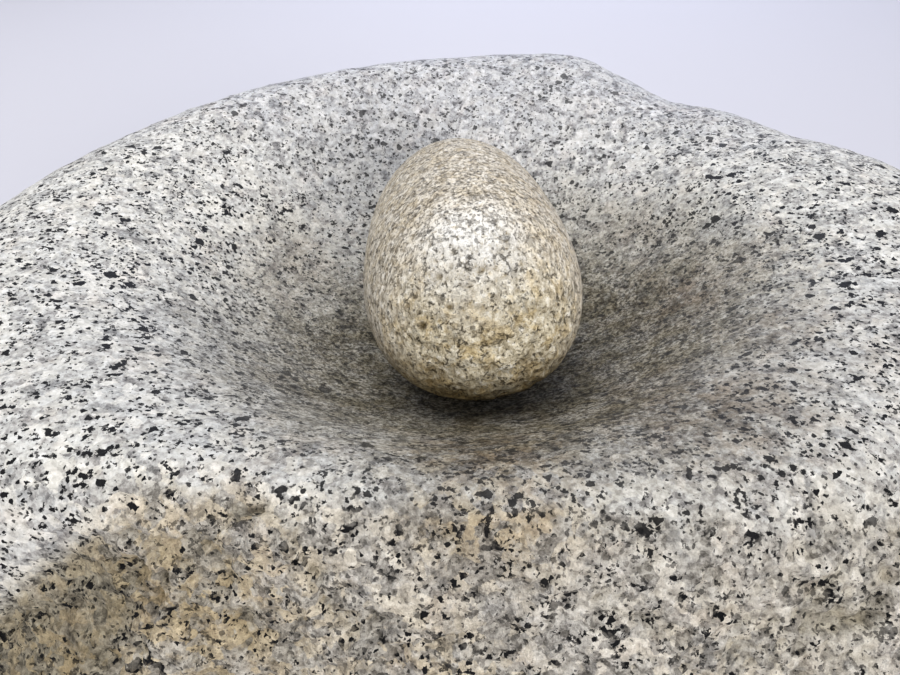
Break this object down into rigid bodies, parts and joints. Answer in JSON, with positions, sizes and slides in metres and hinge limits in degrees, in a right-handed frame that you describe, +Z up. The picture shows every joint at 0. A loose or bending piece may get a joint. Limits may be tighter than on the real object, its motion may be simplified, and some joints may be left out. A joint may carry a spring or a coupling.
{
  "type": "molcajete",
  "caption": "Low rounded granite boulder with a wide ground basin in its top and a loose egg-shaped hand stone lying in it.",
  "frame": {"origin": "middle of the boulder's outline, at the level it stands on", "axes": "+X to the right along the longest extent, +Y to the high back rim, +Z up"},
  "size_m": [0.4543, 0.3714, 0.1688],
  "materials": {
    "light_granite": "white and cream granite with black mica, weathered outside and ground smooth in the basin",
    "tan_granite": "fine tan granite, smooth on its flanks and pitted at its grinding end"
  },
  "bodies": {
    "mortar": {"mortar_boulder": "light_granite"},
    "hand_stone": {"hand_stone": "tan_granite"}
  },
  "joints": [
    {"name": "hand_stone_lift", "type": "slide", "parent": "mortar", "child": "hand_stone", "axis": [0, 0, 1], "range_m": [0, 0.12]}
  ]
}
